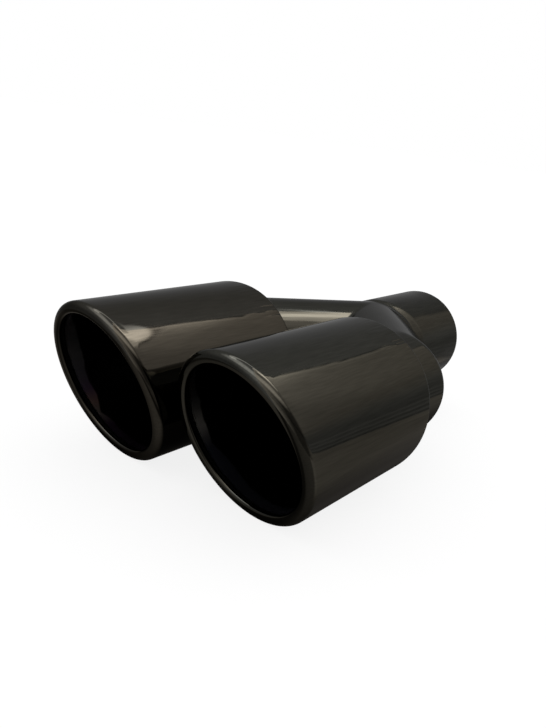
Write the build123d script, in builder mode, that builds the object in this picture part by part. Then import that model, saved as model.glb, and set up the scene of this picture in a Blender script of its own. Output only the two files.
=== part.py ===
"""Twin-outlet slip-on exhaust tip.

Two double-walled outlets with slant-cut, rolled-in mouths are fed by a Y of plain tube whose joints are all
mitred. The origin is the centre of the inlet's open end. +Y points out of that end, the mouths face -Y, and
+Z is up. Lengths are in millimetres and angles in degrees.
"""
import os
from math import degrees, radians, sin, tan

from build123d import *

# Tube of the Y, whose inlet slips over a 63.5 mm tail pipe
inlet_bore = 63.8
tube_wall = 1.2
inlet_length = 83.5
leg_run_right = 65.5
leg_run_left = 78.0

# Necks: straight stretch on the inside of each elbow, and the end that sits inside the shell
neck_straight_right = 26.0
neck_straight_left = 5.0
neck_insert = 8.0
neck_clearance = 0.1

# Outer shells: the mouth leans back towards the bottom and towards the left
tip_od = 88.9
tip_gap = 3.6
shell_length = 116.0
shell_sheet = 1.2
mouth_slant = 26.0
mouth_skew = 14.0
lip_round = 3.6
lip_width = 6.3
lip_hem = 2.2
lip_hem_round = 1.7
back_round = 3.0

# Inner sleeves, set back behind the rolled lip and a step wider than it
sleeve_step = 0.95
sleeve_wall = 1.2
sleeve_setback = 6.0

# Welds: low, dressed beads along the mitres, and fillets where the necks leave the shells. The three beads
# of the Y end just short of the points where they would run into each other.
bead_radius = 0.8
bead_sides = 8
bead_end_gap = 0.7
neck_weld_leg = 2.0

tube_radius = inlet_bore / 2 + tube_wall
tip_radius = tip_od / 2
tip_spacing = tip_od + tip_gap
lip_bore_radius = tip_radius - lip_width
sleeve_bore_radius = lip_bore_radius + sleeve_step
blank_length = shell_length + tip_od

to_front = Vector(0, -1, 0)
to_back = Vector(0, 1, 0)
mouth_normal = Vector(tan(radians(mouth_skew)), 1, tan(radians(mouth_slant)))
junction = Vector(0, -inlet_length, 0)


def seam_plane(corner, kept, other):
    """Plane in which two tubes meet at a corner, facing the tube that is kept."""
    return Plane(corner, x_dir=kept + other, z_dir=kept - other)


def tube(corner, direction, start, end, cuts, solid=False):
    """Straight tube along a direction from a corner, trimmed by planes that face what is kept."""
    with BuildPart() as piece:
        with BuildSketch(Plane(corner, z_dir=direction).offset(start)):
            Circle(tube_radius)
            if not solid:
                Circle(inlet_bore / 2, mode=Mode.SUBTRACT)
        extrude(amount=end - start)
        for cut in cuts:
            split(bisect_by=cut, keep=Keep.TOP)
    return piece.part


def bead(corner, first, second, tubes, all_round=True):
    """Bead along the ellipse in which two tubes meet, all round it or on the half inside their corner."""
    half_angle = radians(first.get_angle(second) / 2)
    seam_radius = tube_radius / sin(half_angle)
    arc = 360 if all_round else 180 - 2 * degrees(bead_end_gap / seam_radius)
    with BuildPart() as run:
        with BuildLine(seam_plane(corner, first, second)):
            seam = EllipticalCenterArc(
                (0, 0),
                x_radius=seam_radius,
                y_radius=tube_radius,
                start_angle=-arc / 2,
                arc_size=arc,
            )
        with BuildSketch(Plane(seam @ 0, z_dir=seam % 0)):
            RegularPolygon(bead_radius, bead_sides, rotation=180 / bead_sides)
        sweep()
        add(tubes, mode=Mode.SUBTRACT)
    return run.part


def slanted_can(back, mouth, inset):
    """Closed can cut off slanting at the mouth, with its walls moved in by the inset."""
    with BuildPart() as can:
        with BuildSketch(back.offset(inset)):
            Circle(tip_radius - inset)
        extrude(amount=blank_length)
        split(bisect_by=mouth.offset(inset), keep=Keep.TOP)
        fillet(can.edges().filter_by(GeomType.CIRCLE).sort_by(Axis.Y)[-1], radius=back_round - inset)
    return can.part


def shell_cavity(back, mouth):
    """Space inside a shell, which leaves the sheet, its rolled lip and the hem that is turned in there."""
    can = slanted_can(back, mouth, shell_sheet)
    with BuildPart() as cavity:
        add(can)
        fillet(cavity.edges().filter_by(GeomType.ELLIPSE), radius=lip_round - shell_sheet)
        with BuildSketch(back.offset(shell_sheet)):
            Circle(lip_bore_radius + shell_sheet)
        hem_blank = extrude(amount=blank_length, mode=Mode.PRIVATE)
        hem_zone = split(hem_blank, bisect_by=mouth.offset(lip_hem), keep=Keep.BOTTOM, mode=Mode.PRIVATE)
        add(hem_zone, mode=Mode.SUBTRACT)
    return cavity.part


def outer_shell(back, mouth):
    """Hollow shell: rolled lip at the mouth, rounded back with the hole for the neck."""
    can = slanted_can(back, mouth, 0)
    cavity = shell_cavity(back, mouth)
    with BuildPart() as shell:
        add(can)
        with BuildSketch(back.offset(shell_sheet)):
            Circle(lip_bore_radius)
        extrude(amount=blank_length, mode=Mode.SUBTRACT)
        fillet(shell.edges().filter_by(GeomType.ELLIPSE).sort_by(SortBy.LENGTH)[-1], radius=lip_round)
        fillet(shell.edges().filter_by(GeomType.ELLIPSE).sort_by(SortBy.LENGTH)[0], radius=lip_hem_round)
        add(cavity, mode=Mode.SUBTRACT)
        with BuildSketch(back):
            Circle(tube_radius + neck_clearance)
        extrude(amount=shell_sheet, mode=Mode.SUBTRACT)
    return shell.part


def inner_sleeve(back, mouth):
    """Inner wall of an outlet, from the inside of the shell's back to a slant behind the lip."""
    with BuildPart() as sleeve:
        with BuildSketch(back.offset(shell_sheet)):
            Circle(sleeve_bore_radius + sleeve_wall)
            Circle(sleeve_bore_radius, mode=Mode.SUBTRACT)
        extrude(amount=blank_length)
        split(bisect_by=mouth.offset(sleeve_setback), keep=Keep.TOP)
    return sleeve.part


def neck_weld(back):
    """Fillet weld round a neck, in the corner that it makes with the back of the shell."""
    with BuildPart() as weld:
        with BuildSketch(Plane(back.origin, x_dir=back.x_dir, z_dir=(0, 0, 1))):
            with BuildLine():
                foot = Line((tube_radius, 0), (tube_radius + neck_clearance + neck_weld_leg, 0))
                side = Line((tube_radius, 0), (tube_radius, neck_weld_leg))
                RadiusArc(side @ 1, foot @ 1, 2 * neck_weld_leg)
            make_face()
        revolve(axis=Axis(back.origin, to_back))
    return weld.part


def save(part, name):
    """Name a piece and write its file."""
    part.label = name
    export_step(part, f"parts/{name}.step")


os.makedirs("parts", exist_ok=True)

bends = {
    "right": junction + Vector(tip_spacing / 2, -leg_run_right, 0),
    "left": junction + Vector(-tip_spacing / 2, -leg_run_left, 0),
}
straights = {"right": neck_straight_right, "left": neck_straight_left}
legs_from_junction = {side: (bend - junction).normalized() for side, bend in bends.items()}
all_arms = [to_back, legs_from_junction["right"], legs_from_junction["left"]]


def junction_cuts(arm):
    """Planes at the junction that part one arm of the Y from the other two."""
    return [seam_plane(junction, arm, other) for other in all_arms if other is not arm]


junction_solids = [tube(junction, to_back, -tube_radius, inlet_length, junction_cuts(to_back), solid=True)]
inlet_pipe = tube(junction, to_back, -tube_radius, inlet_length, junction_cuts(to_back))
save(inlet_pipe, "inlet_pipe")

for side, bend in bends.items():
    arm = legs_from_junction[side]
    to_junction = -arm
    elbow_half = radians(to_back.get_angle(to_junction) / 2)
    elbow_overlap = tube_radius * tan(elbow_half)
    neck = straights[side] + elbow_overlap
    back = Plane(bend + to_front * neck, x_dir=(1, 0, 0), z_dir=to_front)
    mouth = Plane(back.origin + to_front * shell_length, z_dir=mouth_normal)

    shell = outer_shell(back, mouth)
    save(shell, f"outer_shell_{side}")
    sleeve = inner_sleeve(back, mouth)
    save(sleeve, f"inner_sleeve_{side}")

    neck_end = neck + shell_sheet + neck_insert
    neck_cuts = [seam_plane(bend, to_front, to_junction)]
    neck_pipe = tube(bend, to_front, -elbow_overlap, neck_end, neck_cuts)
    save(neck_pipe, f"neck_{side}")

    leg_length = (junction - bend).length
    leg_cuts = [seam_plane(bend, to_junction, to_front)] + junction_cuts(arm)
    leg_pipe = tube(bend, to_junction, -elbow_overlap, leg_length + tube_radius, leg_cuts)
    save(leg_pipe, f"leg_{side}")

    neck_solid = tube(bend, to_front, -elbow_overlap, neck_end, neck_cuts, solid=True)
    leg_solid = tube(bend, to_junction, -elbow_overlap, leg_length + tube_radius, leg_cuts, solid=True)
    junction_solids.append(leg_solid)

    elbow_weld = bead(bend, to_front, to_junction, [neck_solid, leg_solid])
    save(elbow_weld, f"weld_elbow_{side}")
    ring = neck_weld(back)
    save(ring, f"weld_neck_{side}")

junction_seams = {
    "weld_junction_right": (to_back, legs_from_junction["right"]),
    "weld_junction_left": (to_back, legs_from_junction["left"]),
    "weld_crotch": (legs_from_junction["right"], legs_from_junction["left"]),
}
for name, (first, second) in junction_seams.items():
    seam_weld = bead(junction, first, second, junction_solids, all_round=False)
    save(seam_weld, name)
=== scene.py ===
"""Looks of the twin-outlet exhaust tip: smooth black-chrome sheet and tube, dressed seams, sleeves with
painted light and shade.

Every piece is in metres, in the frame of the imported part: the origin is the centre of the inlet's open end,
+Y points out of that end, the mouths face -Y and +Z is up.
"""
from math import cos, degrees, pi, radians, sin, tan

import bmesh
import bpy
from mathutils import Matrix, Vector


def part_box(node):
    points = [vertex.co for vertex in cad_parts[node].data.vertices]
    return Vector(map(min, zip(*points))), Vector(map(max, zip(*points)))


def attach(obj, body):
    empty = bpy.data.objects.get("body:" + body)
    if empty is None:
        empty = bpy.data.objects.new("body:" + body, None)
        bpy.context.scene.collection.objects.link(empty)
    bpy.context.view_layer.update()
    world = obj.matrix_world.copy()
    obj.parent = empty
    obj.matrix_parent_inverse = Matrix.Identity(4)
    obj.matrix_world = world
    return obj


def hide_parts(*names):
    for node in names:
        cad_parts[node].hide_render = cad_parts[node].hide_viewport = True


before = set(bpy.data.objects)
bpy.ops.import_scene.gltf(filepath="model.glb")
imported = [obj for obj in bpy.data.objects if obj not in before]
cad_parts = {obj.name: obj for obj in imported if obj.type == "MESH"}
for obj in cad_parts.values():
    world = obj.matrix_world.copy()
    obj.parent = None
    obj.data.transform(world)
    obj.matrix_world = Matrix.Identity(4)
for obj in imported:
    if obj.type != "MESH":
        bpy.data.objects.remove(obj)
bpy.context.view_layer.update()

MM = 0.001
SIDES = ("right", "left")

# Sizes that repeat the part's own
inlet_length = 83.5 * MM
leg_runs = {"right": 65.5 * MM, "left": 78.0 * MM}
tube_wall = 1.2 * MM
neck_insert = 8.0 * MM
neck_clearance = 0.1 * MM
shell_length = 116.0 * MM
shell_sheet = 1.2 * MM
mouth_slant = radians(26.0)
mouth_skew = radians(14.0)
lip_round = 3.6 * MM
lip_width = 6.3 * MM
lip_hem = 2.2 * MM
lip_hem_round = 1.7 * MM
back_round = 3.0 * MM
sleeve_step = 0.95 * MM
sleeve_wall = 1.2 * MM
sleeve_setback = 6.0 * MM

# Weld round each neck: ripples that overlap, in the corner between the neck and the back of the shell
ripple_count = 165
ripple_radius = 1.35 * MM
ripple_offset = 0.75 * MM
ripple_squash = 0.72
ripple_unevenness = 0.05
ripple_segments = 12
ripple_rings = 7
weld_seed = 4

# Width of the dressed seams, fineness of the meshes, and the places in a section whose faces lie inside
seam_half_width = 2.6 * MM
edge_support = 0.8 * MM
sharp_angle = radians(35)
round_steps = 288
fillet_steps = 14
seam_steps = 12
tube_points = 4
tube_inside = [2]
shell_inside_from = 4 + 3 * (fillet_steps + 1)

# Black chrome: colours, the far shell's a darker, warmer copy that paints shade on it, tint at a grazing
# look, roughness, and how far the streaks change tone and gloss
chrome_colour = (0.050, 0.0495, 0.0435)
shaded_warm_chrome_colour = (0.047, 0.0445, 0.0385)
grazing_tint = (0.47, 0.47, 0.47, 1)
shell_roughness = 0.06
tube_roughness = 0.09
seam_roughness = 0.12
inlet_roughness = 0.15
streak_tone = 0.11
streak_gloss = 0.3

# Relief of the polish: fine streaks, slow waves, and warps within reach of a weld. Scales are per metre, and
# a stretch below 1 draws a pattern out along the tube.
streak_scale = 1200
streak_stretch = 0.035
streak_lean = radians(3.0)
streak_range = (0.72, 1.28)
streak_detail = 3
streak_depth = 0.003 * MM
wave_scale = 28
wave_detail = 1
wave_depth = 0.12 * MM
inlet_wave_depth = 0.48 * MM
warp_scale = 260
warp_stretch = 0.08
warp_detail = 2
warp_depth = 0.9 * MM
warp_reach = 43.0 * MM
warp_spot = radians(60.0)
tube_warp_depth = 0.12 * MM
tube_warp_reach = 16.0 * MM
inlet_pinch = 2.6 * MM
inlet_pinch_reach = 14.0 * MM

# Inner walls, by height in millimetres: how far behind the mouth their band of painted light ends, with
# painted shade behind it,
# # and its tones, painted light and shade that change with height, from a dark bottom over the heat tints to
# lit satin steel
lit_band_edges = {
    "right": [
        (-42, 12), (-30, 15), (-23, 13), (-18, 10.5), (-12, 11.5), (-6, 11.5), (0, 11.3), (6, 10.8),
        (12, 9.6), (18, 8.2), (24, 6.4), (30, 5), (42, 5),
    ],
    "left": [
        (-42, 10), (-34, 11), (-29, 8), (-26, 10), (-21, 12.5), (-14, 12), (-9, 12.5), (-2, 13.8), (8, 14),
        (18, 12.7), (24, 10.5), (30, 7.5), (36, 5), (42, 5),
    ],
}
lit_band_tones = {
    "right": [
        (-42, (0.006, 0.006, 0.008)), (-20, (0.012, 0.012, 0.017)), (-15, (0.034, 0.032, 0.033)),
        (-9, (0.1, 0.093, 0.085)), (-5, (0.09, 0.084, 0.075)), (1, (0.038, 0.036, 0.033)),
        (8, (0.014, 0.013, 0.013)), (15, (0.009, 0.008, 0.008)), (26, (0.006, 0.006, 0.006)),
        (42, (0.004, 0.004, 0.004)),
    ],
    "left": [
        (-42, (0.002, 0.002, 0.002)), (-34, (0.012, 0.006, 0.013)), (-28, (0.06, 0.05, 0.045)),
        (-24, (0.085, 0.052, 0.045)), (-17, (0.04, 0.025, 0.042)), (-10, (0.036, 0.032, 0.038)),
        (4, (0.042, 0.039, 0.039)), (14, (0.026, 0.024, 0.024)), (24, (0.022, 0.02, 0.02)),
        (32, (0.03, 0.028, 0.028)), (42, (0.02, 0.019, 0.019)),
    ],
}
band_blur = 0.7
band_raggedness = 1.2
# Share of the wall's colour that is left past the band: painted shade
band_shade = 0.01
sleeve_metal = 0.1
sleeve_specular = 0.05
sleeve_grazing_tint = (0.35, 0.35, 0.35, 1)
sleeve_streak_scale = 300
sleeve_wave_scale = 90
sleeve_roughness = (0.3, 0.5)
sleeve_bump = 0.15
sleeve_bump_depth = 0.3 * MM

# Dark matt coat where the exhaust gas runs: painted shade on the walls inside the tubes and outlets, lighter
# in the inlet's bore
inside_shade_colour = (0.003, 0.003, 0.003)
bore_shade_colour = (0.03, 0.029, 0.027)
shade_coat_specular = 0.1
shade_coat_grain_scale = 260
shade_coat_grain_detail = 5
shade_coat_tone = 0.4
shade_coat_roughness = (0.6, 0.9)
shade_coat_bump = 0.3
shade_coat_bump_depth = 0.2 * MM

# Camera: turned about the part, height and roll in degrees, place in metres, focal length in pixels
image_height = 728
camera_turn = radians(30.711)
camera_height = radians(15.285)
camera_roll = radians(8.004)
camera_place = Vector((245.25, -616.54, 140.36)) * MM
focal_pixels = 880.21
sensor_size = 36.0
clip_start = 0.01
clip_end = 50.0

# Dome that the chrome mirrors, in metres. Turns and heights on it are in degrees from its centre: turn 0 is
# behind the part and 180 is in front of its mouths. A glow goes by height and a fall by turn.
dome_radius = 0.75
dome_centre = Vector((0, -0.23, 0))
dome_segments = 64
dome_rings = 32

# Softbox behind on the right, with a bright rim along its edge and the table's edge low in it
softbox_edge = 8.3
softbox_edge_blur = 0.4
softbox_lean = 0.6
softbox_lean_from = 33
softbox_glow = [
    (-14, 0.9), (-7.2, 0.86), (-6.7, 0.3), (-6.1, 0.3), (-5.6, 0.66), (-4.8, 0.62), (-4.2, 0.36),
    (-3.4, 0.46), (-2.8, 0.8), (-2.2, 0.5), (-1.0, 0.46), (-0.2, 0.74), (0.5, 0.46), (4, 0.5), (9, 0.7),
    (15, 0.88), (21, 1.0), (30, 1.1), (40, 1.2), (50, 1.25), (55, 1.9), (90, 1.8),
]
softbox_fall = [
    (0, 1), (26, 1), (29, 0.95), (33, 0.78), (36, 0.7), (48, 0.68), (66, 0.5), (86, 0.16), (132, 0.14),
    (155, 0.6), (180, 1.4),
]
softbox_tint = (1.0, 0.92, 0.83, 1)
softbox_warm_from = 2
softbox_warm_to = 14
rim_glow = [(30, 0), (36, 0.3), (40, 1.3), (44, 1.8), (47, 1.4), (90, 1.4)]
rim_fall = [(0, 1.25), (4, 1), (9, 0.5), (16, 0.18), (25, 0), (180, 0)]
table_edge = -7.0
table_edge_blur = 0.6
edge_lean = 0.3
edge_lean_from = 38.0
edge_lean_top = 4.0

# Dark and light line beside the softbox's edge: place past the edge, from where to where it fades, strength
dark_line_place = -0.4
dark_line_fade = (0.2, 0.8)
dark_line = 0.5
light_line_place = 1.3
light_line_fade = (0.4, 1.0)
light_line = 0.4

# Grey screen behind on the left, ceiling, and the front half of the dome, which shows in views from behind
screen_glow = [(-12, 0.36), (0, 0.32), (6, 0.36), (12, 0.42), (18, 0.54), (24, 0.7), (30, 0.76), (90, 0.7)]
screen_fall = [(0, 1), (60, 1), (100, 0.8), (140, 0.7), (158, 1.2), (180, 2.0)]
screen_tint = (1.0, 1.0, 1.0, 1)
ceiling_glow = [(32, 0), (50, 0.6), (90, 0.8)]
front_glow = [(30, 0), (38, 1.2), (48, 3.0), (66, 3.0), (80, 0.8), (90, 0.8)]
front_fall = [(0, 0), (62, 0), (100, 0.7), (140, 1), (180, 1)]

# Round lamp above the softbox, a bright blob at its lower end with a dark line below, a strip on the left
lamp_turn = 10.0
lamp_height = 59.2
lamp_radius = 13.0
lamp_blur = 0.5
lamp_lean = 0.3
lamp_fall = [(-12, 0.3), (0, 0.9), (3, 2.2), (7, 6.6), (14, 7.2), (20, 2.6), (32, 1.8)]
blob_edge = 46.5
blob_edge_blur = 0.25
blob_lean = 0.13
blob_top = 50.0
blob_top_blur = 1.0
blob_fall = [
    (-22, 0), (-16, 0.4), (-10, 1.2), (-5, 3), (2, 5.5), (6, 6.6), (12, 6), (18, 3.2), (24, 1.6), (30, 0),
]
blob_line_place = -0.6
blob_line_fade = (0.15, 0.6)
blob_line_ends = (14, 20)
blob_line = 0.6
strip_turn = -55.0
strip_height = 58.0
strip_half_turn = 55.0
strip_half_height = 5.0
strip_turn_blur = 3.0
strip_height_blur = 1.0
strip_strength = 2.6

# Table that the chrome mirrors, its glow painted light with the part's painted shadow in it, by place from
# left to right in millimetres, and the floor
table_radius = 0.27
table_lift = 0.2 * MM
table_light_and_shadow = [
    (-270, 0.7), (-125, 0.6), (-100, 0.15), (-80, 0.04), (-60, 0.02), (60, 0.02), (75, 0.05), (90, 0.2),
    (118, 0.72), (270, 0.64),
]
table_front_light_and_shadow = [
    (-270, 0.2), (-150, 0.1), (-110, 0.1), (-70, 0.3), (0, 0.4), (24, 0.4), (38, 0.06), (60, 0.06),
    (74, 0.2), (120, 0.25), (270, 0.3),
]
table_front = -300.0
table_middle = -265.0
table_tint = (1.0, 0.92, 0.83, 1)
floor_radius = 12.0
floor_white = 0.18
floor_roughness = 0.9
background_white = 1.03
disc_segments = 96

# Places that are read from the frame
inlet_low, inlet_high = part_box("inlet_pipe")
tube_radius = (inlet_high.x - inlet_low.x) / 2
shell_boxes = {side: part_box(f"outer_shell_{side}") for side in SIDES}
tip_radius = (shell_boxes["right"][1].x - shell_boxes["right"][0].x) / 2
axis_x = {side: (low.x + high.x) / 2 for side, (low, high) in shell_boxes.items()}
back_y = {side: high.y for side, (low, high) in shell_boxes.items()}
lip_bore_radius = tip_radius - lip_width
sleeve_bore_radius = lip_bore_radius + sleeve_step

to_front = Vector((0, -1, 0))
to_back = Vector((0, 1, 0))
up = Vector((0, 0, 1))
mouth_normal = Vector((tan(mouth_skew), 1, tan(mouth_slant))).normalized()
junction = Vector((0, -inlet_length, 0))
bends = {side: junction + Vector((axis_x[side], -leg_runs[side], 0)) for side in SIDES}
arms = {side: (bends[side] - junction).normalized() for side in SIDES}


def skin(name, rows, closed):
    """Smooth mesh over a row of closed sections, joined end to end or closed with a face at both ends."""
    count = len(rows[0])
    spans = len(rows) if closed else len(rows) - 1
    faces = []
    for i in range(spans):
        here = i * count
        there = (i + 1) % len(rows) * count
        for j in range(count):
            k = (j + 1) % count
            faces.append((here + j, here + k, there + k, there + j))
    if not closed:
        last = (len(rows) - 1) * count
        faces.append(tuple(range(count)))
        faces.append(tuple(range(last, last + count)))
    mesh = bpy.data.meshes.new(name)
    mesh.from_pydata([point for row in rows for point in row], [], faces)
    work = bmesh.new()
    work.from_mesh(mesh)
    bmesh.ops.recalc_face_normals(work, faces=work.faces)
    work.to_mesh(mesh)
    work.free()
    mesh.shade_smooth()
    mesh.set_sharp_from_angle(angle=sharp_angle)
    return mesh


def coat_inside(mesh, section_points, inside, material):
    """Second material on the faces that lie at some places of each section."""
    mesh.materials.append(material)
    for face in mesh.polygons:
        if face.index % section_points in inside:
            face.material_index = 1


def measure(mesh, name, distance):
    """Store a distance at each point of a mesh."""
    values = mesh.attributes.new(name, "FLOAT", "POINT").data
    for vertex in mesh.vertices:
        values[vertex.index].value = distance(vertex.co)


def place(name, mesh, material, slot, *nodes):
    """Piece of the part that stands for some CAD nodes."""
    piece = bpy.data.objects.new(name, mesh)
    bpy.context.collection.objects.link(piece)
    mesh.materials.clear()
    mesh.materials.append(material)
    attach(piece, "root")
    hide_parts(*nodes)


def turn_between(first, second, share):
    """Unit direction a share of the way along the arc between two unit directions."""
    angle = first.angle(second)
    return (first * sin((1 - share) * angle) + second * sin(share * angle)) / sin(angle)


def shares(steps):
    """Even shares from 0 to 1."""
    return [step / steps for step in range(steps + 1)]


class Mouth:
    """Slanted mouth of one outlet, for finding points on and behind it."""

    def __init__(self, side):
        self.x = axis_x[side]
        self.y = back_y[side] - shell_length

    def point(self, outward, radius, behind):
        """Point at a radius, a distance behind the plane of the mouth."""
        lean = radius * mouth_normal.dot(outward)
        y = self.y + (behind - lean) / mouth_normal.y
        return Vector((self.x, y, 0)) + outward * radius

    def behind(self, point):
        """Distance of a point behind the plane of the mouth."""
        return mouth_normal.dot(point - Vector((self.x, self.y, 0)))

    def roll(self, outward, radius, behind, first, second, ball):
        """Arc of a ball that rolls round the lip, between two directions from its centre."""
        centre = self.point(outward, radius, behind)
        return [centre + turn_between(first, second, share) * ball for share in shares(fillet_steps)]


def radial_directions():
    """Outward directions round an outlet's axis, starting at the bottom."""
    angles = [2 * pi * step / round_steps - pi / 2 for step in range(round_steps)]
    return [Vector((cos(angle), 0, sin(angle))) for angle in angles]


def shell_section(side, mouth, outward):
    """Section of a shell's sheet: back, wall, rolled lip and hem, then the same way back on the inside."""
    axis = Vector((mouth.x, 0, 0))
    back = back_y[side]
    hole_radius = tube_radius + neck_clearance
    ball_radius = tip_radius - lip_round
    hem_radius = lip_bore_radius + lip_hem_round
    shoulder = axis + outward * (tip_radius - back_round) + to_back * (back - back_round)

    def at(radius, y):
        return axis + outward * radius + to_back * y

    def shoulder_arc(ball, first, second):
        return [shoulder + turn_between(first, second, share) * ball for share in shares(fillet_steps)]

    section = [at(hole_radius, back), at(tip_radius - back_round - edge_support, back)]
    section += shoulder_arc(back_round, to_back, outward)
    section.append(at(tip_radius, back - back_round - edge_support))
    section.append(mouth.point(outward, tip_radius, 0) + to_back * (2 * lip_round + 4 * edge_support))
    section += mouth.roll(outward, ball_radius, lip_round, outward, -mouth_normal, lip_round)
    section += mouth.roll(outward, hem_radius, lip_hem_round, -mouth_normal, -outward, lip_hem_round)
    section.append(mouth.point(outward, lip_bore_radius, lip_hem))
    section.append(mouth.point(outward, lip_bore_radius + shell_sheet, lip_hem))
    section.append(mouth.point(outward, lip_bore_radius + shell_sheet, shell_sheet))
    section += mouth.roll(outward, ball_radius, lip_round, -mouth_normal, outward, lip_round - shell_sheet)
    section += shoulder_arc(back_round - shell_sheet, outward, to_back)
    section.append(at(hole_radius, back - shell_sheet))
    return section


def sleeve_section(side, mouth, outward):
    """Section of the inner wall of an outlet."""
    axis = Vector((mouth.x, back_y[side] - shell_sheet, 0))
    outer_radius = sleeve_bore_radius + sleeve_wall
    return [
        axis + outward * outer_radius,
        mouth.point(outward, outer_radius, sleeve_setback),
        mouth.point(outward, sleeve_bore_radius, sleeve_setback),
        axis + outward * sleeve_bore_radius,
    ]


def tube_directions(along):
    """Outward directions round a tube, starting at the top."""
    sideways = along.cross(up).normalized()
    angles = [2 * pi * step / round_steps for step in range(round_steps)]
    return [up * cos(angle) + sideways * sin(angle) for angle in angles]


def mitre_reach(outward, radius, along, others):
    """How far along a tube its mitre with other tubes lies, at one place round it."""
    normals = [along - other for other in others]
    return max(-radius * outward.dot(normal) / along.dot(normal) for normal in normals)


def tube_piece(name, corner, along, others, end_reach):
    """Tube from the dressed seams at a corner to an end, which is a reach for each place round it."""
    def from_weld(point):
        reach = (point - corner).dot(along)
        outward = point - corner - along * reach
        return reach - mitre_reach(outward.normalized(), outward.length, along, others)

    rows = []
    bore_radius = tube_radius - tube_wall
    for outward in tube_directions(along):
        section = []
        for radius in (tube_radius, bore_radius):
            start = mitre_reach(outward, radius, along, others) + seam_half_width
            ends = [start, end_reach(outward, radius)]
            if radius == bore_radius:
                ends.reverse()
            section += [corner + outward * radius + along * reach for reach in ends]
        rows.append(section)
    mesh = skin(name, rows, closed=True)
    measure(mesh, "from_weld", from_weld)
    return mesh


def seam_piece(name, corner, first, second, all_round):
    """Dressed seam between two tubes: the sharp corner of the mitre is blended over its width."""
    inside = (first + second).normalized()
    stretch = 1 / sin(first.angle(second) / 2)
    if all_round:
        angles = [2 * pi * step / round_steps for step in range(round_steps)]
    else:
        half = round_steps // 2
        angles = [pi * step / half - pi / 2 for step in range(half + 1)]
    rows = []
    for angle in angles:
        spot = inside * cos(angle) * stretch + up * sin(angle)
        outer = corner + spot * tube_radius
        inner = corner + spot * (tube_radius - tube_wall)
        start = outer + first * seam_half_width
        end = outer + second * seam_half_width
        section = []
        for share in shares(seam_steps):
            section.append(start * (1 - share) ** 2 + outer * 2 * share * (1 - share) + end * share**2)
        section += [inner + second * seam_half_width, inner, inner + first * seam_half_width]
        rows.append(section)
    return skin(name, rows, closed=all_round)


def seam_meeting(name, level):
    """Small plate that closes the place where the three seams of the Y meet, on its top or bottom."""
    ring = [to_back, arms["right"], arms["left"]]
    rows = []
    for radius in (tube_radius, tube_radius - tube_wall):
        centre = junction + up * radius * level
        row = []
        for first, second in zip(ring, ring[1:] + ring[:1]):
            start = first * seam_half_width
            end = second * seam_half_width
            row += [centre + start * (1 - share) ** 2 + end * share**2 for share in shares(seam_steps)[:-1]]
        rows.append(row)
    return skin(name, rows, closed=False)


def joined(meshes):
    """First mesh of a list with the others added to it."""
    work = bmesh.new()
    for mesh in meshes:
        work.from_mesh(mesh)
    work.to_mesh(meshes[0])
    work.free()
    return meshes[0]


def node(tree, kind, **settings):
    """New shader or geometry node with its settings."""
    made = tree.nodes.new(kind)
    for name, value in settings.items():
        setattr(made, name, value)
    return made


def calc(tree, operation, first, second=None):
    """Result of a sum on one or two values or sockets."""
    made = node(tree, "ShaderNodeMath", operation=operation)
    for index, value in enumerate((first, second)):
        if isinstance(value, bpy.types.NodeSocket):
            tree.links.new(value, made.inputs[index])
        elif value is not None:
            made.inputs[index].default_value = value
    return made.outputs["Value"]


def plus(tree, first, second):
    """Sum of two values or sockets."""
    return calc(tree, "ADD", first, second)


def minus(tree, first, second):
    """First of two values or sockets less the second."""
    return calc(tree, "SUBTRACT", first, second)


def times(tree, first, second):
    """Product of two values or sockets."""
    return calc(tree, "MULTIPLY", first, second)


def larger(tree, first, second):
    """Larger of two values or sockets."""
    return calc(tree, "MAXIMUM", first, second)


def apart(tree, first, second):
    """Distance between two values or sockets."""
    return calc(tree, "ABSOLUTE", minus(tree, first, second))


def smooth_step(tree, value, low, high):
    """Share that goes smoothly from 0 at a low value to 1 at a high one."""
    made = node(tree, "ShaderNodeMapRange", interpolation_type="SMOOTHSTEP")
    made.inputs["From Min"].default_value = low
    made.inputs["From Max"].default_value = high
    tree.links.new(value, made.inputs["Value"])
    return made.outputs["Result"]


def smooth_edge(tree, value, edge, blur):
    """Share that goes from 0 to 1 across a blurred edge."""
    return smooth_step(tree, value, edge - blur, edge + blur)


def stretched(tree, share, low, high):
    """Value that a share takes from a low one to a high one."""
    made = node(tree, "ShaderNodeMapRange")
    made.inputs["To Min"].default_value = low
    made.inputs["To Max"].default_value = high
    tree.links.new(share, made.inputs["Value"])
    return made.outputs["Result"]


def blend(tree, share, first, second):
    """Value that a share takes from a first socket to a second one."""
    made = node(tree, "ShaderNodeMix", data_type="FLOAT")
    tree.links.new(share, made.inputs["Factor"])
    tree.links.new(first, made.inputs["A"])
    tree.links.new(second, made.inputs["B"])
    return made.outputs["Result"]


def tinted(tree, share, first, second):
    """Colour that a share takes from a first one to a second one."""
    made = node(tree, "ShaderNodeMix", data_type="RGBA")
    made.inputs["A"].default_value = first
    made.inputs["B"].default_value = second
    tree.links.new(share, made.inputs["Factor"])
    return made.outputs["Result"]


def shaded(tree, share, colour, amount):
    """Colour that a share takes from darker to lighter by an amount."""
    dark = (*[part * (1 - amount) for part in colour], 1)
    light = (*[part * (1 + amount) for part in colour], 1)
    return tinted(tree, share, dark, light)


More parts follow.
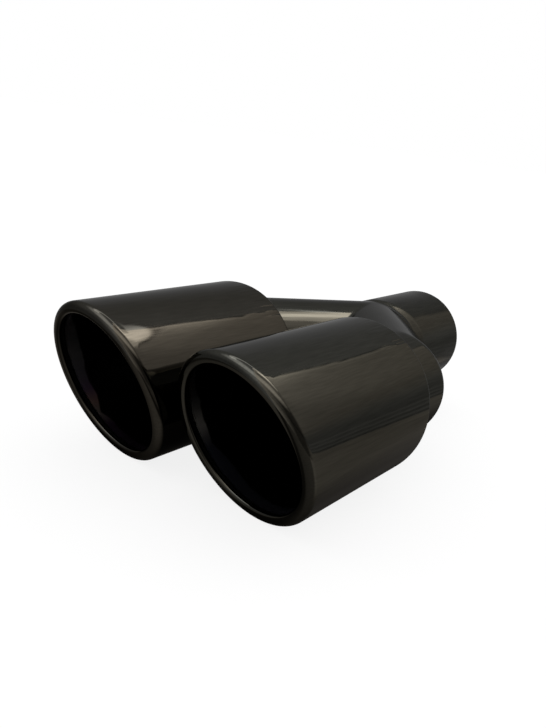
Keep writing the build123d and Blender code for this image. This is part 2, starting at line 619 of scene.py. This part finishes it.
def colour_ramp(tree, value, stops):
    """Colour that goes through stops of (value, colour)."""
    low = stops[0][0]
    high = stops[-1][0]
    spread = node(tree, "ShaderNodeMapRange")
    spread.inputs["From Min"].default_value = low
    spread.inputs["From Max"].default_value = high
    tree.links.new(value, spread.inputs["Value"])
    made = node(tree, "ShaderNodeValToRGB")
    elements = made.color_ramp.elements
    elements.remove(elements[-1])
    for index, (stop, colour) in enumerate(stops):
        share = (stop - low) / (high - low)
        element = elements[0] if index == 0 else elements.new(share)
        element.position = share
        element.color = (*colour, 1)
    tree.links.new(spread.outputs["Result"], made.inputs["Fac"])
    return made.outputs["Color"]


def ramp(tree, value, stops):
    """Strength that goes through stops of (value, strength)."""
    peak = max(strength for stop, strength in stops)
    greys = [(stop, [strength / peak] * 3) for stop, strength in stops]
    return times(tree, colour_ramp(tree, value, greys), peak)


def object_place(tree):
    """Place in the part's frame, as a vector and as its three parts."""
    where = node(tree, "ShaderNodeTexCoord").outputs["Object"]
    parts = node(tree, "ShaderNodeSeparateXYZ")
    tree.links.new(where, parts.inputs["Vector"])
    return where, parts.outputs


def attribute(tree, name):
    """Distance that is stored at the points of a mesh."""
    return node(tree, "ShaderNodeAttribute", attribute_name=name).outputs["Fac"]


def bumped(tree, shader, height, strength, depth):
    """Relief on a shader."""
    bump = node(tree, "ShaderNodeBump")
    bump.inputs["Strength"].default_value = strength
    bump.inputs["Distance"].default_value = depth
    tree.links.new(height, bump.inputs["Height"])
    tree.links.new(bump.outputs["Normal"], shader.inputs["Normal"])


def new_material(name):
    """Material with its tree and its shader."""
    material = bpy.data.materials.new(name)
    material.use_nodes = True
    tree = material.node_tree
    return material, tree, tree.nodes["Principled BSDF"]


def glow_material(name):
    """Material that only shines, with its tree and its glow."""
    material = bpy.data.materials.new(name)
    material.use_nodes = True
    tree = material.node_tree
    tree.nodes.clear()
    shine = node(tree, "ShaderNodeEmission")
    result = node(tree, "ShaderNodeOutputMaterial")
    tree.links.new(shine.outputs["Emission"], result.inputs["Surface"])
    return material, tree, shine


def polish_group():
    """Marks in the polished sheet: fine lengthwise streaks, slow waves, and warps beside the welds."""
    tree = bpy.data.node_groups.new("polish_marks", "ShaderNodeTree")
    sockets = tree.interface
    sockets.new_socket("Vector", in_out="INPUT", socket_type="NodeSocketVector")
    for name in ("Streak Scale", "Wave Scale", "Warp Scale", "Weld Distance", "Weld Reach"):
        sockets.new_socket(name, in_out="INPUT", socket_type="NodeSocketFloat")
    for name in ("Streaks", "Waves", "Warps"):
        sockets.new_socket(name, in_out="OUTPUT", socket_type="NodeSocketFloat")
    given = node(tree, "NodeGroupInput")
    made = node(tree, "NodeGroupOutput")

    def mapped(vector, setting, value):
        turned = node(tree, "ShaderNodeMapping")
        turned.inputs[setting].default_value = value
        tree.links.new(vector, turned.inputs["Vector"])
        return turned.outputs["Vector"]

    def noise(vector, scale_name, detail):
        pattern = node(tree, "ShaderNodeTexNoise")
        pattern.inputs["Detail"].default_value = detail
        tree.links.new(vector, pattern.inputs["Vector"])
        tree.links.new(given.outputs[scale_name], pattern.inputs["Scale"])
        return pattern.outputs["Fac"]

    layers = []
    for lean in (streak_lean, -streak_lean):
        leaning = mapped(given.outputs["Vector"], "Rotation", (lean, 0, 0))
        drawn = mapped(leaning, "Scale", (1, streak_stretch, 1))
        layers.append(noise(drawn, "Streak Scale", streak_detail))
    streaks = node(tree, "ShaderNodeMapRange")
    streaks.inputs["From Min"].default_value = streak_range[0]
    streaks.inputs["From Max"].default_value = streak_range[1]
    tree.links.new(plus(tree, *layers), streaks.inputs["Value"])
    waves = noise(given.outputs["Vector"], "Wave Scale", wave_detail)
    drawn = mapped(given.outputs["Vector"], "Scale", (1, warp_stretch, 1))
    warps = noise(drawn, "Warp Scale", warp_detail)
    near = node(tree, "ShaderNodeMapRange", interpolation_type="SMOOTHSTEP")
    near.inputs["To Min"].default_value = 1
    near.inputs["To Max"].default_value = 0
    tree.links.new(given.outputs["Weld Distance"], near.inputs["Value"])
    tree.links.new(given.outputs["Weld Reach"], near.inputs["From Max"])
    tree.links.new(streaks.outputs["Result"], made.inputs["Streaks"])
    tree.links.new(waves, made.inputs["Waves"])
    tree.links.new(times(tree, warps, near.outputs["Result"]), made.inputs["Warps"])
    return tree


polish_marks = polish_group()


def black_chrome(
    name,
    colour,
    roughness,
    turn=0.0,
    wave=wave_depth,
    warp=tube_warp_depth,
    reach=tube_warp_reach,
    pinch=0.0,
):
    """Polished black chrome whose streaks run along a tube that is turned from the Y axis."""
    material, tree, shader = new_material(name)
    shader.inputs["Metallic"].default_value = 1.0
    shader.inputs["Specular Tint"].default_value = grazing_tint
    where = node(tree, "ShaderNodeTexCoord")
    from_weld = attribute(tree, "from_weld")
    turned = node(tree, "ShaderNodeMapping")
    turned.inputs["Rotation"].default_value = (0, 0, turn)
    marks = node(tree, "ShaderNodeGroup", node_tree=polish_marks)
    marks.inputs["Streak Scale"].default_value = streak_scale
    marks.inputs["Wave Scale"].default_value = wave_scale
    marks.inputs["Warp Scale"].default_value = warp_scale
    marks.inputs["Weld Reach"].default_value = reach
    tree.links.new(where.outputs["Object"], turned.inputs["Vector"])
    tree.links.new(turned.outputs["Vector"], marks.inputs["Vector"])
    tree.links.new(from_weld, marks.inputs["Weld Distance"])
    streaks = marks.outputs["Streaks"]
    gloss = stretched(tree, streaks, roughness * (1 - streak_gloss), roughness * (1 + streak_gloss))
    tree.links.new(shaded(tree, streaks, colour, streak_tone), shader.inputs["Base Color"])
    tree.links.new(gloss, shader.inputs["Roughness"])
    relief = times(tree, streaks, streak_depth)
    relief = plus(tree, relief, times(tree, marks.outputs["Waves"], wave))
    relief = plus(tree, relief, times(tree, marks.outputs["Warps"], warp))
    if pinch:
        drawn_in = smooth_step(tree, from_weld, 0, inlet_pinch_reach)
        relief = plus(tree, relief, times(tree, drawn_in, pinch))
    bumped(tree, shader, relief, 1, 1)
    return material


def band_lit_steel(side):
    """Satin steel of an inner wall: painted light in a bright band at the mouth, tinted by heat, and painted
    shade, black, behind it.
    """
    material, tree, shader = new_material(f"band_lit_steel_{side}")
    shader.inputs["Metallic"].default_value = sleeve_metal
    shader.inputs["Specular IOR Level"].default_value = sleeve_specular
    shader.inputs["Specular Tint"].default_value = sleeve_grazing_tint
    where, parts = object_place(tree)
    marks = node(tree, "ShaderNodeGroup", node_tree=polish_marks)
    marks.inputs["Streak Scale"].default_value = sleeve_streak_scale
    marks.inputs["Wave Scale"].default_value = sleeve_wave_scale
    tree.links.new(where, marks.inputs["Vector"])
    height = calc(tree, "DIVIDE", parts["Z"], MM)
    depth = calc(tree, "DIVIDE", attribute(tree, "depth"), MM)
    ragged = stretched(tree, marks.outputs["Waves"], -band_raggedness, band_raggedness)
    past_edge = minus(tree, plus(tree, depth, ragged), ramp(tree, height, lit_band_edges[side]))
    # Painted light: the wall is bright in a band behind the mouth, and past its edge it falls to painted
    # shade
    band = node(tree, "ShaderNodeMapRange", interpolation_type="SMOOTHSTEP")
    band.inputs["From Min"].default_value = -band_blur
    band.inputs["From Max"].default_value = band_blur
    band.inputs["To Min"].default_value = 1
    band.inputs["To Max"].default_value = band_shade
    shade_past_band = node(tree, "ShaderNodeMix", data_type="RGBA", blend_type="MULTIPLY")
    shade_past_band.inputs["Factor"].default_value = 1
    tree.links.new(past_edge, band.inputs["Value"])
    tree.links.new(colour_ramp(tree, height, lit_band_tones[side]), shade_past_band.inputs["A"])
    tree.links.new(band.outputs["Result"], shade_past_band.inputs["B"])
    tree.links.new(shade_past_band.outputs["Result"], shader.inputs["Base Color"])
    gloss = stretched(tree, marks.outputs["Streaks"], *sleeve_roughness)
    tree.links.new(gloss, shader.inputs["Roughness"])
    bumped(tree, shader, marks.outputs["Streaks"], sleeve_bump, sleeve_bump_depth)
    return material


def painted_shade_coat(name, colour):
    """Dark matt coat on the walls that the exhaust gas runs along: painted shade inside the tubes and
    outlets.
    """
    material, tree, shader = new_material(name)
    shader.inputs["Specular IOR Level"].default_value = shade_coat_specular
    where = node(tree, "ShaderNodeTexCoord")
    noise = node(tree, "ShaderNodeTexNoise")
    noise.inputs["Scale"].default_value = shade_coat_grain_scale
    noise.inputs["Detail"].default_value = shade_coat_grain_detail
    tree.links.new(where.outputs["Object"], noise.inputs["Vector"])
    grain = noise.outputs["Fac"]
    tree.links.new(shaded(tree, grain, colour, shade_coat_tone), shader.inputs["Base Color"])
    tree.links.new(stretched(tree, grain, *shade_coat_roughness), shader.inputs["Roughness"])
    bumped(tree, shader, grain, shade_coat_bump, shade_coat_bump_depth)
    return material


# The far (left) shell takes the darker, warmer copy of the chrome: painted shade.
shell_colours = {"right": chrome_colour, "left": shaded_warm_chrome_colour}
shell_finish = {
    side: black_chrome(
        f"black_chrome_shell_{side}", shell_colours[side], shell_roughness, warp=warp_depth, reach=warp_reach
    )
    for side in SIDES
}
tube_finish = black_chrome("black_chrome_tube", chrome_colour, tube_roughness)
inlet_finish = black_chrome(
    "black_chrome_inlet", chrome_colour, inlet_roughness, wave=inlet_wave_depth, pinch=inlet_pinch
)
weld_finish = black_chrome("black_chrome_seam", chrome_colour, seam_roughness)
leg_turns = {"right": -arms["right"].angle(to_front), "left": arms["left"].angle(to_front)}
leg_finish = {
    side: black_chrome(f"black_chrome_leg_{side}", chrome_colour, tube_roughness, turn)
    for side, turn in leg_turns.items()
}
# Inner walls with painted light in a band at the mouth and painted shade behind it
sleeve_finish = {side: band_lit_steel(side) for side in SIDES}
# Dark matt coats on the inner faces: painted shade
inside_shade_finish = painted_shade_coat("painted_shade_inside", inside_shade_colour)
bore_finish = painted_shade_coat("painted_shade_inlet_bore", bore_shade_colour)


def outlet(side):
    """Shell and inner wall of one outlet."""
    mouth = Mouth(side)
    directions = radial_directions()
    across = Vector((cos(warp_spot), 0, sin(warp_spot)))
    weld_spot = Vector((axis_x[side], back_y[side], 0)) + across * tip_radius
    wall_end = back_y[side] - back_round / 2

    def from_weld(point):
        return (point - weld_spot).length if point.y < wall_end else warp_reach

    shell_rows = [shell_section(side, mouth, outward) for outward in directions]
    shell_points = len(shell_rows[0])
    shell_mesh = skin(f"shell_{side}", shell_rows, closed=True)
    measure(shell_mesh, "from_weld", from_weld)
    place(f"shell_{side}", shell_mesh, shell_finish[side], "shell", f"outer_shell_{side}")
    # Inner faces of the shell take the dark coat: painted shade
    coat_inside(shell_mesh, shell_points, range(shell_inside_from, shell_points), inside_shade_finish)
    sleeve_rows = [sleeve_section(side, mouth, outward) for outward in directions]
    sleeve_mesh = skin(f"sleeve_{side}", sleeve_rows, closed=True)
    measure(sleeve_mesh, "depth", mouth.behind)
    place(f"sleeve_{side}", sleeve_mesh, sleeve_finish[side], "sleeve", f"inner_sleeve_{side}")


def arm(side, other_side):
    """Neck and leg of one outlet, with the seams at both ends of the leg."""
    bend = bends[side]
    to_junction = -arms[side]
    neck_end = bend.y - back_y[side] + shell_sheet + neck_insert
    leg_length = (bend - junction).length
    junction_arms = [to_back, arms[other_side]]

    def neck_reach(outward, radius):
        return neck_end

    def leg_reach(outward, radius):
        return leg_length - mitre_reach(outward, radius, arms[side], junction_arms) - seam_half_width

    neck_mesh = tube_piece(f"neck_tube_{side}", bend, to_front, [to_junction], neck_reach)
    place(f"neck_tube_{side}", neck_mesh, tube_finish, "tube", f"neck_{side}")
    # Bores of the neck and the leg take the dark coat: painted shade
    coat_inside(neck_mesh, tube_points, tube_inside, inside_shade_finish)
    leg_mesh = tube_piece(f"leg_tube_{side}", bend, to_junction, [to_front], leg_reach)
    place(f"leg_tube_{side}", leg_mesh, leg_finish[side], "tube", f"leg_{side}")
    coat_inside(leg_mesh, tube_points, tube_inside, inside_shade_finish)
    elbow_mesh = seam_piece(f"seam_elbow_{side}", bend, to_front, to_junction, all_round=True)
    place(f"seam_elbow_{side}", elbow_mesh, weld_finish, "weld", f"weld_elbow_{side}")
    seam_mesh = seam_piece(f"seam_junction_{side}", junction, to_back, arms[side], all_round=False)
    place(f"seam_junction_{side}", seam_mesh, weld_finish, "weld", f"weld_junction_{side}")


def weld_run():
    """Ring of overlapping weld ripples: a tree with named sizes."""
    tree = bpy.data.node_groups.new("weld_run", "GeometryNodeTree")
    sockets = tree.interface
    sockets.new_socket("Ring Radius", in_out="INPUT", socket_type="NodeSocketFloat")
    sockets.new_socket("Ripples", in_out="INPUT", socket_type="NodeSocketInt")
    sockets.new_socket("Ripple Radius", in_out="INPUT", socket_type="NodeSocketFloat")
    sockets.new_socket("Ripple Squash", in_out="INPUT", socket_type="NodeSocketFloat")
    sockets.new_socket("Unevenness", in_out="INPUT", socket_type="NodeSocketFloat")
    sockets.new_socket("Place", in_out="INPUT", socket_type="NodeSocketVector")
    sockets.new_socket("Finish", in_out="INPUT", socket_type="NodeSocketMaterial")
    sockets.new_socket("Weld", in_out="OUTPUT", socket_type="NodeSocketGeometry")
    given = node(tree, "NodeGroupInput")
    made = node(tree, "NodeGroupOutput")
    ring = node(tree, "GeometryNodeCurvePrimitiveCircle", mode="RADIUS")
    points = node(tree, "GeometryNodeCurveToPoints", mode="EVALUATED")
    ripple = node(tree, "GeometryNodeMeshUVSphere")
    ripple.inputs["Segments"].default_value = ripple_segments
    ripple.inputs["Rings"].default_value = ripple_rings
    squash = node(tree, "ShaderNodeCombineXYZ")
    squash.inputs["X"].default_value = 1
    squash.inputs["Y"].default_value = 1
    uneven = node(tree, "FunctionNodeRandomValue", data_type="FLOAT")
    uneven.inputs["Seed"].default_value = weld_seed
    size = node(tree, "ShaderNodeVectorMath", operation="SCALE")
    laid = node(tree, "GeometryNodeInstanceOnPoints")
    solid = node(tree, "GeometryNodeRealizeInstances")
    smooth = node(tree, "GeometryNodeSetShadeSmooth")
    placed = node(tree, "GeometryNodeTransform")
    placed.inputs["Rotation"].default_value = (pi / 2, 0, 0)
    finished = node(tree, "GeometryNodeSetMaterial")
    tree.links.new(given.outputs["Ripples"], ring.inputs["Resolution"])
    tree.links.new(given.outputs["Ring Radius"], ring.inputs["Radius"])
    tree.links.new(ring.outputs["Curve"], points.inputs["Curve"])
    tree.links.new(given.outputs["Ripple Radius"], ripple.inputs["Radius"])
    tree.links.new(given.outputs["Ripple Squash"], squash.inputs["Z"])
    tree.links.new(minus(tree, 1, given.outputs["Unevenness"]), uneven.inputs[2])
    tree.links.new(plus(tree, 1, given.outputs["Unevenness"]), uneven.inputs[3])
    tree.links.new(squash.outputs["Vector"], size.inputs["Vector"])
    tree.links.new(uneven.outputs[1], size.inputs["Scale"])
    tree.links.new(points.outputs["Points"], laid.inputs["Points"])
    tree.links.new(ripple.outputs["Mesh"], laid.inputs["Instance"])
    tree.links.new(points.outputs["Rotation"], laid.inputs["Rotation"])
    tree.links.new(size.outputs["Vector"], laid.inputs["Scale"])
    tree.links.new(laid.outputs["Instances"], placed.inputs["Geometry"])
    tree.links.new(given.outputs["Place"], placed.inputs["Translation"])
    tree.links.new(placed.outputs["Geometry"], solid.inputs["Geometry"])
    tree.links.new(solid.outputs["Geometry"], smooth.inputs["Geometry"])
    tree.links.new(smooth.outputs["Geometry"], finished.inputs["Geometry"])
    tree.links.new(given.outputs["Finish"], finished.inputs["Material"])
    tree.links.new(finished.outputs["Geometry"], made.inputs["Weld"])
    return tree


weld_tree = weld_run()
weld_sockets = {item.name: item.identifier for item in weld_tree.interface.items_tree}


def neck_weld_mesh(side):
    """Mesh of the weld round a neck, where it leaves the back of its shell."""
    carrier = bpy.data.objects.new("weld_carrier", bpy.data.meshes.new("weld_carrier"))
    bpy.context.collection.objects.link(carrier)
    run = carrier.modifiers.new("weld_run", "NODES")
    run.node_group = weld_tree
    run[weld_sockets["Ring Radius"]] = tube_radius + ripple_offset
    run[weld_sockets["Ripples"]] = ripple_count
    run[weld_sockets["Ripple Radius"]] = ripple_radius
    run[weld_sockets["Ripple Squash"]] = ripple_squash
    run[weld_sockets["Unevenness"]] = ripple_unevenness
    run[weld_sockets["Place"]] = (axis_x[side], back_y[side] + ripple_offset, 0)
    run[weld_sockets["Finish"]] = weld_finish
    ready = carrier.evaluated_get(bpy.context.evaluated_depsgraph_get())
    mesh = bpy.data.meshes.new_from_object(ready)
    bpy.data.objects.remove(carrier)
    return mesh


def inlet():
    """Inlet tube and the seam between the two legs, with the plates where the three seams meet."""
    def open_end(outward, radius):
        return inlet_length

    inlet_mesh = tube_piece("inlet_tube", junction, to_back, list(arms.values()), open_end)
    place("inlet_tube", inlet_mesh, inlet_finish, "tube", "inlet_pipe")
    # Bore of the inlet takes the lighter dark coat: painted shade
    coat_inside(inlet_mesh, tube_points, tube_inside, bore_finish)
    crotch_seam = seam_piece("seam_crotch", junction, arms["right"], arms["left"], all_round=False)
    crotch_mesh = joined([crotch_seam, seam_meeting("seam_top", 1), seam_meeting("seam_bottom", -1)])
    place("seam_crotch", crotch_mesh, weld_finish, "weld", "weld_crotch")


def camera():
    """Camera at the photograph's viewing angle."""
    back = Vector((
        sin(camera_turn) * cos(camera_height),
        -cos(camera_turn) * cos(camera_height),
        sin(camera_height),
    ))
    right = (-back).cross(up).normalized()
    upright = back.cross(right)
    rolled_right = right * cos(camera_roll) + upright * sin(camera_roll)
    rolled_up = upright * cos(camera_roll) - right * sin(camera_roll)
    made = bpy.data.objects.new("camera", bpy.data.cameras.new("camera"))
    bpy.context.collection.objects.link(made)
    made.data.sensor_width = sensor_size
    made.data.lens = focal_pixels / image_height * sensor_size
    made.data.clip_start = clip_start
    made.data.clip_end = clip_end
    facing = Matrix((rolled_right, rolled_up, back)).transposed().to_4x4()
    made.matrix_world = Matrix.Translation(camera_place) @ facing
    bpy.context.scene.camera = made


def dome_place(tree):
    """Turn and height of a place on the dome, in degrees."""
    where, parts = object_place(tree)
    x, y, z = (calc(tree, "DIVIDE", parts[axis], dome_radius) for axis in "XYZ")
    y = minus(tree, y, dome_centre.y / dome_radius)
    turn = times(tree, calc(tree, "ARCTAN2", x, y), degrees(1))
    height = times(tree, calc(tree, "ARCSINE", z), degrees(1))
    return turn, height


def softbox_and_screen(tree, turn, height):
    """Glow and tint of the softbox and the screen, and how far past the edge between them a place lies."""
    away = calc(tree, "ABSOLUTE", turn)
    past_lean = larger(tree, minus(tree, height, softbox_lean_from), 0)
    edge = minus(tree, softbox_edge, times(tree, past_lean, softbox_lean))
    past_edge = minus(tree, turn, edge)
    is_right = smooth_edge(tree, past_edge, 0, softbox_edge_blur)
    leaning = times(tree, minus(tree, edge_lean_from, turn), edge_lean)
    is_low = minus(tree, 1, smooth_step(tree, height, edge_lean_top, softbox_warm_to))
    level = plus(tree, height, times(tree, leaning, is_low))
    softbox = times(tree, ramp(tree, level, softbox_glow), ramp(tree, away, softbox_fall))
    rim = times(tree, ramp(tree, height, rim_glow), ramp(tree, past_edge, rim_fall))
    screen = times(tree, ramp(tree, height, screen_glow), ramp(tree, away, screen_fall))
    glow = blend(tree, is_right, screen, plus(tree, softbox, rim))
    warm_low = minus(tree, 1, smooth_edge(tree, level, table_edge, table_edge_blur))
    warm_high = smooth_step(tree, height, softbox_warm_from, softbox_warm_to)
    warm = times(tree, is_right, larger(tree, warm_low, warm_high))
    return glow, tinted(tree, warm, screen_tint, softbox_tint), past_edge


def edge_lines(tree, past_edge):
    """Share of the glow that the dark and the light line beside the softbox's edge leave or add."""
    off_dark = smooth_step(tree, apart(tree, past_edge, dark_line_place), *dark_line_fade)
    off_light = smooth_step(tree, apart(tree, past_edge, light_line_place), *light_line_fade)
    dimmed = plus(tree, 1 - dark_line + light_line, times(tree, off_dark, dark_line))
    return minus(tree, dimmed, times(tree, off_light, light_line))


def lamps(tree, turn, height):
    """Light of the lamp, its blob and the strip, and the share of the glow that the blob's line leaves."""
    past_lamp = minus(tree, turn, lamp_turn)
    side_lamp = times(tree, past_lamp, cos(radians(lamp_height)))
    up_lamp = plus(tree, minus(tree, height, lamp_height), times(tree, past_lamp, lamp_lean))
    across = plus(tree, calc(tree, "POWER", side_lamp, 2), calc(tree, "POWER", up_lamp, 2))
    off_lamp = smooth_edge(tree, calc(tree, "SQRT", across), lamp_radius, lamp_blur)
    lamp = times(tree, minus(tree, 1, off_lamp), ramp(tree, turn, lamp_fall))
    past_blob = minus(tree, plus(tree, height, times(tree, turn, blob_lean)), blob_edge)
    below_top = minus(tree, 1, smooth_edge(tree, height, blob_top, blob_top_blur))
    in_blob = times(tree, smooth_edge(tree, past_blob, 0, blob_edge_blur), below_top)
    blob = times(tree, in_blob, ramp(tree, turn, blob_fall))
    off_side = smooth_edge(tree, apart(tree, turn, strip_turn), strip_half_turn, strip_turn_blur)
    off_top = smooth_edge(tree, apart(tree, height, strip_height), strip_half_height, strip_height_blur)
    strip = times(tree, minus(tree, 1, larger(tree, off_side, off_top)), strip_strength)
    light = larger(tree, larger(tree, lamp, blob), strip)
    off_line = smooth_step(tree, apart(tree, past_blob, blob_line_place), *blob_line_fade)
    past_ends = smooth_step(tree, calc(tree, "ABSOLUTE", past_lamp), *blob_line_ends)
    line = plus(tree, 1 - blob_line, times(tree, larger(tree, off_line, past_ends), blob_line))
    return light, line


def dome_material():
    """Glow of the studio that the chrome mirrors: screen, softbox, ceiling, front half and lamps."""
    material, tree, shine = glow_material("studio_dome")
    turn, height = dome_place(tree)
    glow, tint, past_edge = softbox_and_screen(tree, turn, height)
    light, lamp_line = lamps(tree, turn, height)
    away = calc(tree, "ABSOLUTE", turn)
    front = times(tree, ramp(tree, height, front_glow), ramp(tree, away, front_fall))
    glow = larger(tree, larger(tree, glow, ramp(tree, height, ceiling_glow)), front)
    glow = times(tree, times(tree, glow, edge_lines(tree, past_edge)), lamp_line)
    tree.links.new(tint, shine.inputs["Color"])
    tree.links.new(plus(tree, glow, light), shine.inputs["Strength"])
    return material


def table_material():
    """Table as the chrome mirrors it: a glow of painted light, with the part's shadow painted in dark where
    the part stands over it.
    """
    material, tree, shine = glow_material("table_light_and_shadow")
    where, parts = object_place(tree)
    sideways = calc(tree, "DIVIDE", parts["X"], MM)
    lengthways = calc(tree, "DIVIDE", parts["Y"], MM)
    # Painted shadow: the glow falls low where the part's shadow lies on the table
    is_behind = smooth_step(tree, lengthways, table_front, table_middle)
    in_front = ramp(tree, sideways, table_front_light_and_shadow)
    behind = ramp(tree, sideways, table_light_and_shadow)
    shine.inputs["Color"].default_value = table_tint
    tree.links.new(blend(tree, is_behind, in_front, behind), shine.inputs["Strength"])
    return material


def floor_material():
    """White floor that keeps the part's shadow, lifted to the white of the background where it is seen."""
    material, tree, shader = new_material("floor_white")
    shader.inputs["Base Color"].default_value = (floor_white, floor_white, floor_white, 1)
    shader.inputs["Roughness"].default_value = floor_roughness
    shader.inputs["Specular IOR Level"].default_value = 0
    shader.inputs["Emission Color"].default_value = (1, 1, 1, 1)
    rays = node(tree, "ShaderNodeLightPath")
    seen = larger(tree, rays.outputs["Is Camera Ray"], rays.outputs["Is Glossy Ray"])
    seen = larger(tree, seen, rays.outputs["Is Transmission Ray"])
    lift = times(tree, seen, background_white - floor_white)
    tree.links.new(lift, shader.inputs["Emission Strength"])
    return material


def only_mirrored(thing):
    """A card of the studio that shows in the chrome and lights nothing."""
    thing.visible_camera = False
    thing.visible_diffuse = False
    thing.visible_shadow = False


def plain_object(name, mesh, material):
    """Object of the studio with one material."""
    thing = bpy.data.objects.new(name, mesh)
    bpy.context.collection.objects.link(thing)
    mesh.materials.append(material)
    return thing


def dome():
    """Studio dome round the part."""
    mesh = bpy.data.meshes.new("studio_dome")
    work = bmesh.new()
    bmesh.ops.create_uvsphere(work, u_segments=dome_segments, v_segments=dome_rings, radius=dome_radius)
    bmesh.ops.translate(work, verts=work.verts, vec=dome_centre)
    work.to_mesh(mesh)
    work.free()
    mesh.shade_smooth()
    only_mirrored(plain_object("studio_dome", mesh, dome_material()))


def disc(name, centre, radius):
    """Flat round mesh."""
    mesh = bpy.data.meshes.new(name)
    work = bmesh.new()
    bmesh.ops.create_circle(work, cap_ends=True, segments=disc_segments, radius=radius)
    bmesh.ops.translate(work, verts=work.verts, vec=centre)
    work.to_mesh(mesh)
    work.free()
    return mesh


def studio():
    """White floor and background, the table and the dome that the chrome mirrors."""
    world = bpy.data.worlds.new("studio")
    bpy.context.scene.world = world
    world.use_nodes = True
    world.node_tree.nodes["Background"].inputs["Color"].default_value = (1, 1, 1, 1)
    world.node_tree.nodes["Background"].inputs["Strength"].default_value = 1.0
    floor_level = Vector((0, dome_centre.y, -tip_radius))
    floor = plain_object("floor", disc("floor", floor_level, floor_radius), floor_material())
    floor.visible_glossy = False
    table_level = floor_level + up * table_lift
    table = plain_object("table", disc("table", table_level, table_radius), table_material())
    only_mirrored(table)
    dome()


for side in SIDES:
    outlet(side)
arm("right", "left")
arm("left", "right")
for side in SIDES:
    place(f"neck_weld_{side}", neck_weld_mesh(side), weld_finish, "weld", f"weld_neck_{side}")
inlet()
camera()
studio()
bpy.context.scene.view_settings.view_transform = "Standard"
